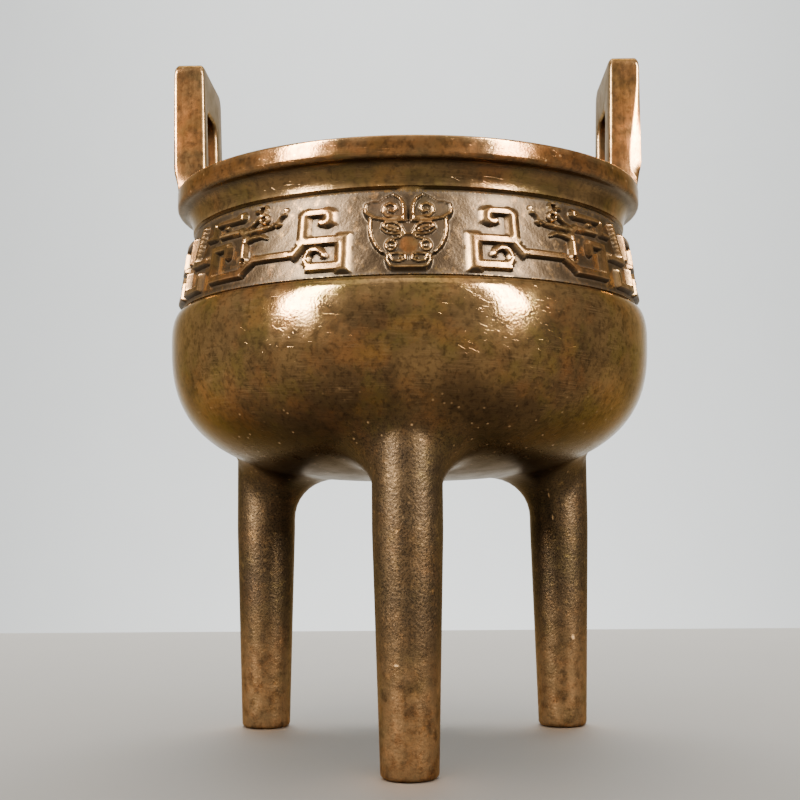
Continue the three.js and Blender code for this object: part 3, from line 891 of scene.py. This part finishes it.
def ear_sheet(sizes):
    """Ear on the +X side: a thick upright loop with rolled edges, its root sunk in the lip.

    Its slot lies a little to the back, its top is domed, and its inner face leans in towards the foot.
    """
    section = ear_section()
    points = ear_loop(sizes, section)
    half = sizes.ear_thickness / 2
    points[:, 2] = np.minimum(points[:, 2], sizes.height)
    top = smooth_step(points[:, 2], sizes.height - 6 * MM, sizes.height)
    across = (points[:, 0] - EAR_FACE_X + half) / half
    points[:, 2] -= EAR_DOME * top * across ** 2
    foot = (sizes.height - points[:, 2]) / (sizes.height - EAR_ROOT_Z)
    points[:, 0] -= EAR_LEAN * foot * (1 - across) / 2
    radius = np.hypot(points[:, 0], points[:, 1])
    blend = smooth_step(points[:, 2], RIM_TOP + 0.2 * MM, RIM_TOP + 6 * MM)
    limit = (RIM_RADIUS - 0.12 * MM) * (1 - blend) + radius * blend
    points[:, :2] *= np.minimum(1, limit / radius)[:, None]
    wide = len(section)
    around = len(points) // wide
    faces = []
    for row in range(around):
        after = (row + 1) % around
        for part in range(wide):
            follow = (part + 1) % wide
            faces.append((row * wide + part, after * wide + part, after * wide + follow, row * wide + follow))
    return Sheet(points, faces, ear_marks(points, section, across))


def sheet_object(name, sheets):
    """Object that holds the sheets as one mesh, with their marks as point attributes."""
    points = np.vstack([sheet.points for sheet in sheets])
    faces, first = [], 0
    for sheet in sheets:
        faces += [tuple(corner + first for corner in face) for face in sheet.faces]
        first += len(sheet.points)
    mesh = bpy.data.meshes.new(name)
    mesh.from_pydata(points.tolist(), [], faces)
    for mark in MARKS:
        values = np.concatenate([sheet.marks[mark] for sheet in sheets]).astype(np.float32)
        mesh.attributes.new(mark, "FLOAT", "POINT").data.foreach_set("value", values)
    piece = bpy.data.objects.new(name, mesh)
    bpy.context.scene.collection.objects.link(piece)
    return piece


def add_node(tree, kind, inputs=(), output=0, **settings):
    """New node with its settings; its inputs, by name or place, take a value, a socket or a list of sockets.

    Gives the output that is asked for.
    """
    node = tree.nodes.new(kind)
    for name, value in settings.items():
        setattr(node, name, value)
    for key, value in inputs.items() if isinstance(inputs, dict) else enumerate(inputs):
        for item in value if isinstance(value, list) else [value]:
            if isinstance(item, bpy.types.NodeSocket):
                tree.links.new(item, node.inputs[key])
            else:
                node.inputs[key].default_value = item
    return node.outputs[output] if node.outputs else None


def around_axis_tree():
    """Geometry nodes that repeat a sheet round the axis, mirrored first where asked, and weld it."""
    tree = bpy.data.node_groups.new("AroundAxis", "GeometryNodeTree")
    sockets = tree.interface
    sockets.new_socket("Geometry", in_out="INPUT", socket_type="NodeSocketGeometry")
    sockets.new_socket("Count", in_out="INPUT", socket_type="NodeSocketInt")
    sockets.new_socket("Mirrored", in_out="INPUT", socket_type="NodeSocketBool")
    sockets.new_socket("Weld", in_out="INPUT", socket_type="NodeSocketFloat")
    sockets.new_socket("Material", in_out="INPUT", socket_type="NodeSocketMaterial")
    sockets.new_socket("Geometry", in_out="OUTPUT", socket_type="NodeSocketGeometry")
    given = tree.nodes.new("NodeGroupInput").outputs
    sheet, count = given["Geometry"], given["Count"]
    flipped = add_node(tree, "GeometryNodeTransform", {"Geometry": sheet, "Scale": (-1, 1, 1)})
    turned = add_node(tree, "GeometryNodeFlipFaces", {"Mesh": flipped})
    both = add_node(tree, "GeometryNodeJoinGeometry", {"Geometry": [sheet, turned]})
    chosen = add_node(tree, "GeometryNodeSwitch", {"Switch": given["Mirrored"], "False": sheet, "True": both},
                      input_type="GEOMETRY")
    places = add_node(tree, "GeometryNodePoints", {"Count": count})
    index = add_node(tree, "GeometryNodeInputIndex")
    turn = add_node(tree, "ShaderNodeMath", (2 * math.pi, count), operation="DIVIDE")
    angle = add_node(tree, "ShaderNodeMath", (index, turn), operation="MULTIPLY")
    spin = add_node(tree, "ShaderNodeCombineXYZ", {"Z": angle})
    copied = {"Points": places, "Instance": chosen, "Rotation": spin}
    copies = add_node(tree, "GeometryNodeInstanceOnPoints", copied)
    real = add_node(tree, "GeometryNodeRealizeInstances", {"Geometry": copies})
    welded = add_node(tree, "GeometryNodeMergeByDistance", {"Geometry": real, "Distance": given["Weld"]})
    dressed = add_node(tree, "GeometryNodeSetMaterial", {"Geometry": welded, "Material": given["Material"]})
    add_node(tree, "NodeGroupOutput", (dressed,))
    return tree


def plain_mesh(piece):
    """Turns a piece and its live modifiers into one plain mesh."""
    evaluated = piece.evaluated_get(bpy.context.evaluated_depsgraph_get())
    mesh = bpy.data.meshes.new_from_object(evaluated)
    piece.modifiers.clear()
    piece.data = mesh


def repeat(piece, tree, count, mirrored, material):
    """Repeats a piece round the axis with the tree and makes it a plain mesh."""
    modifier = piece.modifiers.new("Around", "NODES")
    modifier.node_group = tree
    values = {"Count": count, "Mirrored": mirrored, "Weld": WELD, "Material": material}
    for item in tree.interface.items_tree:
        if item.in_out == "INPUT" and item.name in values:
            modifier[item.identifier] = values[item.name]
    plain_mesh(piece)


def read_sheet(piece):
    """Sheet of a piece's plain mesh, its marks included."""
    mesh = piece.data
    points = np.empty(len(mesh.vertices) * 3)
    mesh.vertices.foreach_get("co", points)
    marks = {}
    for mark in MARKS:
        values = np.empty(len(mesh.vertices))
        mesh.attributes[mark].data.foreach_get("value", values)
        marks[mark] = values
    return Sheet(points.reshape(-1, 3), [tuple(face.vertices) for face in mesh.polygons], marks)


def carry_marks(piece, sheets):
    """Gives each point of a piece the marks of the nearest point in the sheets it was joined from."""
    points = np.vstack([sheet.points for sheet in sheets])
    tree = kdtree.KDTree(len(points))
    for index, point in enumerate(points):
        tree.insert(point, index)
    tree.balance()
    nearest = [tree.find(vertex.co)[1] for vertex in piece.data.vertices]
    for mark in MARKS:
        values = np.concatenate([sheet.marks[mark] for sheet in sheets])[nearest]
        piece.data.attributes[mark].data.foreach_set("value", values.astype(np.float32))


def weld_and_orient(piece):
    """Merges the points where sheets meet and turns every face outwards."""
    work = bmesh.new()
    work.from_mesh(piece.data)
    bmesh.ops.remove_doubles(work, verts=work.verts, dist=WELD)
    bmesh.ops.recalc_face_normals(work, faces=work.faces)
    loose = [edge for edge in work.edges if not edge.is_manifold]
    if loose:
        raise RuntimeError("the casting is open at %d edges" % len(loose))
    work.to_mesh(piece.data)
    work.free()


def patinated_bronze(colours):
    """Cast bronze under old brown patina, polished on the bowl and left grainy on the legs.

    To the eye: a warm brown metal with golden, olive, orange and dark clouds, clear highlights on the bowl,
    fine scratches, a duller brown film on the frieze's ground and the legs, painted shade in every groove, at
    the strokes' feet, under the lip and under the bowl, and paler edges that are partly wear and partly
    painted highlights.
    """
    material = bpy.data.materials.new("patinated_cast_bronze")
    material.use_nodes = True
    tree = material.node_tree
    tree.nodes.clear()
    place = add_node(tree, "ShaderNodeTexCoord", output="Object")
    mark = {name: add_node(tree, "ShaderNodeAttribute", output="Fac", attribute_name=name) for name in MARKS}

    def clouds(millimetres, detail, low, high):
        """Share from 0 to 1 of clouds of about a size, where noise rises from low to high."""
        size = {"Vector": place, "Scale": 1 / (millimetres * MM), "Detail": detail, "Roughness": 0.6}
        noise = add_node(tree, "ShaderNodeTexNoise", size)
        return add_node(tree, "ShaderNodeMapRange", {"Value": noise, "From Min": low, "From Max": high},
                        interpolation_type="SMOOTHSTEP")

    def streaks(turn, millimetres, low, high):
        """Share from 0 to 1 of streaks that are as long as given along each turned axis."""
        drawn = {"Vector": place, "Rotation": turn, "Scale": tuple(size * MM for size in millimetres)}
        drawn = add_node(tree, "ShaderNodeMapping", drawn, vector_type="TEXTURE")
        noise = add_node(tree, "ShaderNodeTexNoise", {"Vector": drawn, "Scale": 1, "Detail": 2})
        return add_node(tree, "ShaderNodeMapRange", {"Value": noise, "From Min": low, "From Max": high},
                        interpolation_type="SMOOTHSTEP")

    def scars(segments):
        """Share from 0 to 1 of single scars along straight lines."""
        deepest = 0.0
        for first, last, width in segments:
            start, way = Vector(first) * MM, (Vector(last) - Vector(first)) * MM
            off = add_node(tree, "ShaderNodeVectorMath", (place, start), operation="SUBTRACT")
            along = add_node(tree, "ShaderNodeVectorMath", (off, way / way.length_squared), "Value",
                             operation="DOT_PRODUCT")
            share = add_node(tree, "ShaderNodeClamp", {"Value": along})
            foot = add_node(tree, "ShaderNodeVectorMath", {0: way, "Scale": share}, operation="SCALE")
            away = add_node(tree, "ShaderNodeVectorMath", (off, foot), "Value", operation="DISTANCE")
            across = {"Value": away, "From Min": width * MM, "From Max": 0.3 * width * MM}
            scar = add_node(tree, "ShaderNodeMapRange", across, interpolation_type="SMOOTHSTEP")
            deepest = add_node(tree, "ShaderNodeMath", (deepest, scar), operation="MAXIMUM")
        return deepest

    # Pale specks of grit on the darker places, among them the painted shade under the bowl, each in its own
    # cell, in about half of the cells.
    cell = {"Vector": place, "Scale": 1 / (2.0 * MM)}
    off = add_node(tree, "ShaderNodeTexVoronoi", cell)
    spot = add_node(tree, "ShaderNodeMapRange", {"Value": off, "From Min": 0.18, "From Max": 0.08})
    chance = add_node(tree, "ShaderNodeTexVoronoi", cell, "Color")
    chosen = add_node(tree, "ShaderNodeMapRange", {"Value": chance, "From Min": 0.47, "From Max": 0.51})
    spot = add_node(tree, "ShaderNodeMath", (spot, chosen), operation="MULTIPLY")
    specks = add_node(tree, "ShaderNodeMath", (spot, mark["smoke"]), operation="MULTIPLY")

    # Fine scratches: level and slanted on the bowl, upright on the ears, the legs and the frieze.
    upright = streaks((0, 0, 0), (1.2, 1.2, 14), 0.45, 0.65)
    upright = add_node(tree, "ShaderNodeMath", (upright, mark["upright"]), operation="MULTIPLY")
    polished = add_node(tree, "ShaderNodeMath", (1, mark["upright"]), operation="SUBTRACT")
    level = streaks((0, 0.08, 0), (6, 6, 0.2), 0.68, 0.80)
    slanted = streaks((0.3, 0.5, 0), (4, 4, 0.2), 0.68, 0.80)
    scratches = add_node(tree, "ShaderNodeMath", (level, slanted), operation="ADD")
    scratches = add_node(tree, "ShaderNodeMath", (scratches, polished), operation="MULTIPLY")
    brushed = streaks((0, 0.05, 0), (5, 5, 0.25), 0.40, 0.70)

    # Patina, from broad clouds to dirt, painted shade, wear, painted highlights and scars, with dark cracks
    # and
    # bright nicks: each colour with the shares that multiply to its own.
    layers = (
        (colours.dark, (clouds(20, 5, 0.42, 0.64), 0.85)),
        (colours.olive, (clouds(11, 6, 0.47, 0.63), 0.7)),
        (colours.orange, (clouds(14, 5, 0.48, 0.66), 0.3)),
        (colours.orange, (mark["warm"], clouds(8, 5, 0.30, 0.55))),
        (colours.dark, (clouds(2.4, 8, 0.45, 0.66), 0.6)),
        (colours.rubbed_and_highlight, (brushed, polished, clouds(5, 4, 0.4, 0.7), 0.25)),
        (colours.soot_and_shade, (clouds(1.0, 5, 0.50, 0.64), 0.4)),
        (colours.dusty, (mark["dust"], clouds(1.8, 6, 0.16, 0.48))),
        # Darker tone of the lip, the mask's plate and the ears' inner faces and tops, and painted shade under
        # the bowl, inside it and on the slots' walls.
        (colours.soot_and_shade, (mark["smoke"], 0.88)),
        (colours.soot_and_shade, (mark["grain"], clouds(0.4, 2, 0.50, 0.60), 0.65)),
        (colours.soot_and_shade, (upright, 0.25)),
        (colours.rubbed_and_highlight, (specks, 0.9)),
        # Paler edges: wear at the lip and the feet, and wear with painted highlight along the ears' rolled
        # edges and the frieze's ridges.
        (colours.rubbed_and_highlight, (mark["rub"], clouds(2.5, 4, 0.3, 0.6))),
        # Painted shade in the groove, the notch, under the lip, at the strokes' feet, on their downward
        # flanks, in the mask's hollows, along the frieze's edges and under the bowl.
        (colours.soot_and_shade, (mark["recess"], 0.95)),
        (colours.soot_and_shade, (scars(CRACKS), 0.8)),
        (colours.rubbed_and_highlight, (scars(NICKS), 0.9)),
    )
    tone = (*colours.golden, 1)
    for colour, shares in layers:
        share = shares[0]
        for other in shares[1:]:
            share = add_node(tree, "ShaderNodeMath", (share, other), operation="MULTIPLY")
        tone = add_node(tree, "ShaderNodeMix", {0: share, 6: tone, 7: (*colour, 1)}, 2, data_type="RGBA")

    # Relief of the skin, roughness and metal: a first value and the weights of the patterns added to it.
    grit = add_node(tree, "ShaderNodeTexNoise", {"Vector": place, "Scale": 1 / (0.6 * MM), "Detail": 3})
    rough_grit = add_node(tree, "ShaderNodeMath", (grit, mark["grain"]), operation="MULTIPLY")
    dents = add_node(tree, "ShaderNodeTexNoise", {"Vector": place, "Scale": 1 / (6 * MM), "Detail": 2})
    sums = {
        "skin": (0.0, ((grit, 0.2), (rough_grit, 0.5), (dents, 0.2), (scratches, -0.1), (upright, -0.04))),
        "gloss": (0.10, ((clouds(4, 5, 0.4, 0.65), 0.06), (mark["grain"], 0.10), (mark["dust"], 0.13),
                         (mark["upright"], 0.10), (mark["smoke"], 0.08), (mark["recess"], 0.2),
                         (scratches, 0.1))),
        "metal": (0.92, ((mark["recess"], -0.4), (mark["dust"], -0.05), (specks, -0.5))),
    }
    total = {}
    for name, (start, parts) in sums.items():
        total[name] = start
        for pattern, weight in parts:
            total[name] = add_node(tree, "ShaderNodeMath", (pattern, weight, total[name]),
                                   operation="MULTIPLY_ADD")
    bump = add_node(tree, "ShaderNodeBump", {"Strength": 0.6, "Distance": 0.22 * MM, "Height": total["skin"]})
    shader = add_node(tree, "ShaderNodeBsdfPrincipled", {
        "Base Color": tone, "Metallic": total["metal"], "Roughness": total["gloss"], "Normal": bump,
        "Specular Tint": (*linear("#e2cdb0"), 1)})
    add_node(tree, "ShaderNodeOutputMaterial", {"Surface": shader})
    return material


def matte_paint(name, colour):
    """Matte painted board: an even pale surface with a very faint roller mottle."""
    material = bpy.data.materials.new(name)
    material.use_nodes = True
    tree = material.node_tree
    tree.nodes.clear()
    place = add_node(tree, "ShaderNodeTexCoord", output="Object")
    mottle = add_node(tree, "ShaderNodeTexNoise", {"Vector": place, "Scale": 1 / (40 * MM), "Detail": 3})
    shade = tuple(channel * 0.96 for channel in colour)
    tone = add_node(tree, "ShaderNodeMix", {0: mottle, 6: (*colour, 1), 7: (*shade, 1)}, 2, data_type="RGBA")
    shader = add_node(tree, "ShaderNodeBsdfPrincipled", {"Base Color": tone, "Roughness": 0.7})
    add_node(tree, "ShaderNodeOutputMaterial", {"Surface": shader})
    return material


class CENSER_OT_cast(bpy.types.Operator):
    """Builds the whole casting as one closed piece"""

    bl_idname = "censer.cast"
    bl_label = "Cast the censer"

    def execute(self, context):
        sizes, colours = context.scene.censer_sizes, context.scene.censer_colours
        bronze = patinated_bronze(colours)
        tree = around_axis_tree()
        frieze = sheet_object("frieze", [frieze_sheet(sizes)])
        repeat(frieze, tree, 2, True, bronze)
        legs = sheet_object("legs", [leg_sheet(sizes)])
        repeat(legs, tree, LEG_COUNT, False, bronze)
        ears = sheet_object("ears", [ear_sheet(sizes)])
        repeat(ears, tree, 2, False, bronze)
        weld_and_orient(ears)
        frieze.data.transform(Matrix.Rotation(FRIEZE_TURN, 4, "Z"))
        sheets = [read_sheet(frieze), read_sheet(legs), bottom_sheet()]
        sheets += outer_bowl_sheets() + rim_and_inside_sheets(sizes)
        for sheet in sheets:
            fill_groove(sheet.points)
        body = sheet_object("censer_body", sheets)
        body.data.materials.append(bronze)
        weld_and_orient(body)
        joined = [read_sheet(body), read_sheet(ears)]
        union = body.modifiers.new("Ears", "BOOLEAN")
        union.operation = "UNION"
        union.solver = "EXACT"
        union.object = ears
        plain_mesh(body)
        weld_and_orient(body)
        carry_marks(body, joined)
        for piece in (frieze, legs, ears):
            bpy.data.objects.remove(piece)
        mesh = body.data
        mesh.polygons.foreach_set("use_smooth", [True] * len(mesh.polygons))
        mesh.set_sharp_from_angle(angle=SHARP_ANGLE)
        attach(body, "root")
        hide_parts("censer")
        return {"FINISHED"}


# Stage, in metres. Lamps: name, place, point aimed at, width and height, watts, and if they light the
# casting alone.
FLOOR = ((-1.2, -1.0, -0.03), (1.2, 0.30, 0))
WALL = ((-2.5, 1.1, -1.0), (2.5, 1.13, 2.0))
LAMPS = (
    ("left_softbox", (-0.58, -0.495, 0.58), (0, 0, 0.51), (0.20, 0.70), 76, True),
    ("right_softbox", (0.566, -0.512, 0.58), (0, 0, 0.51), (0.16, 0.70), 60, True),
    ("top_softbox", (0, -0.2, 1.4), (0, 0, 0), (1.2, 1.2), 8, False),
    ("high_wall_wash", (0, 0.4, 0.9), (0, 1.1, 0.1), (0.7, 0.3), 11, False),
    ("low_wall_wash", (0, 0.45, -0.35), (0, 1.1, 0.45), (0.7, 0.3), 13, False),
)
ROOM_LIGHT = 0.36

# Camera: lens and sensor width in millimetres, its place in metres and its turns in degrees.
CAMERA_LENS = 57.13
CAMERA_SENSOR = 36.0
CAMERA_PLACE = (0, -0.3157, 0.0544)
CAMERA_ORBIT = 0.9
CAMERA_YAW = 0.44
CAMERA_PITCH = 90 + 5.23
CAMERA_ROLL = -0.5


def lamp(name, place, aim, size, power, lights):
    """Soft rectangular lamp at a place, turned towards a point; it lights only a collection if given."""
    data = bpy.data.lights.new(name, "AREA")
    data.shape = "RECTANGLE"
    data.size, data.size_y = size
    data.energy = power
    item = bpy.data.objects.new(name, data)
    item.location = place
    item.rotation_euler = (Vector(aim) - Vector(place)).to_track_quat("-Z", "Y").to_euler()
    item.light_linking.receiver_collection = lights
    bpy.context.scene.collection.objects.link(item)


def stage_board(name, low, high, material):
    """Flat-sided board with eased edges."""
    work = bmesh.new()
    bmesh.ops.create_cube(work, size=1)
    middle, span = (Vector(low) + Vector(high)) / 2, Vector(high) - Vector(low)
    for vertex in work.verts:
        vertex.co = middle + Vector(a * b for a, b in zip(vertex.co, span))
    bmesh.ops.bevel(work, geom=work.edges[:], offset=2 * MM, segments=2, affect="EDGES")
    mesh = bpy.data.meshes.new(name)
    work.to_mesh(mesh)
    work.free()
    mesh.materials.append(material)
    board = bpy.data.objects.new(name, mesh)
    bpy.context.scene.collection.objects.link(board)


class CENSER_OT_stage(bpy.types.Operator):
    """Sets the pale floor, the wall, the lamps and the camera"""

    bl_idname = "censer.stage"
    bl_label = "Set the stage"

    def execute(self, context):
        colours = context.scene.censer_colours
        stage_board("floor", *FLOOR, matte_paint("matte_painted_floor", colours.floor))
        stage_board("wall", *WALL, matte_paint("matte_painted_wall", colours.wall))
        casting = bpy.data.collections.new("lit_by_softboxes")
        casting.objects.link(bpy.data.objects["censer_body"])
        for name, place, aim, size, power, casting_alone in LAMPS:
            lamp(name, place, aim, size, power, casting if casting_alone else None)
        world = bpy.data.worlds.new("studio")
        world.use_nodes = True
        background = world.node_tree.nodes["Background"]
        background.inputs["Color"].default_value = (1, 1, 1, 1)
        background.inputs["Strength"].default_value = ROOM_LIGHT
        context.scene.world = world
        data = bpy.data.cameras.new("camera")
        data.lens, data.sensor_width = CAMERA_LENS, CAMERA_SENSOR
        camera = bpy.data.objects.new("camera", data)
        orbit = Matrix.Rotation(math.radians(CAMERA_ORBIT), 4, "Z")
        stand = Matrix.Translation(CAMERA_PLACE)
        yaw = Matrix.Rotation(math.radians(CAMERA_YAW), 4, "Z")
        pitch = Matrix.Rotation(math.radians(CAMERA_PITCH), 4, "X")
        roll = Matrix.Rotation(math.radians(CAMERA_ROLL), 4, "Z")
        camera.matrix_world = orbit @ stand @ yaw @ pitch @ roll
        context.scene.collection.objects.link(camera)
        context.scene.camera = camera
        return {"FINISHED"}


class CENSER_PT_panel(bpy.types.Panel):
    """Lists the steps and the sizes in the sidebar"""

    bl_idname = "CENSER_PT_panel"
    bl_label = "Bronze censer"
    bl_space_type = "VIEW_3D"
    bl_region_type = "UI"
    bl_category = "Censer"

    def draw(self, context):
        layout = self.layout
        layout.operator(CENSER_OT_cast.bl_idname)
        layout.operator(CENSER_OT_stage.bl_idname)
        for group in (context.scene.censer_sizes, context.scene.censer_colours):
            for name in group.bl_rna.properties.keys():
                if name not in ("rna_type", "name"):
                    layout.prop(group, name)


CLASSES = (CenserSizes, CenserColours, CENSER_OT_cast, CENSER_OT_stage, CENSER_PT_panel)


def register():
    for item in CLASSES:
        bpy.utils.register_class(item)
    bpy.types.Scene.censer_sizes = PointerProperty(type=CenserSizes)
    bpy.types.Scene.censer_colours = PointerProperty(type=CenserColours)


def unregister():
    del bpy.types.Scene.censer_colours
    del bpy.types.Scene.censer_sizes
    for item in reversed(CLASSES):
        bpy.utils.unregister_class(item)


def main():
    register()
    bpy.ops.censer.cast()
    bpy.ops.censer.stage()


if __name__ == "__main__":
    main()
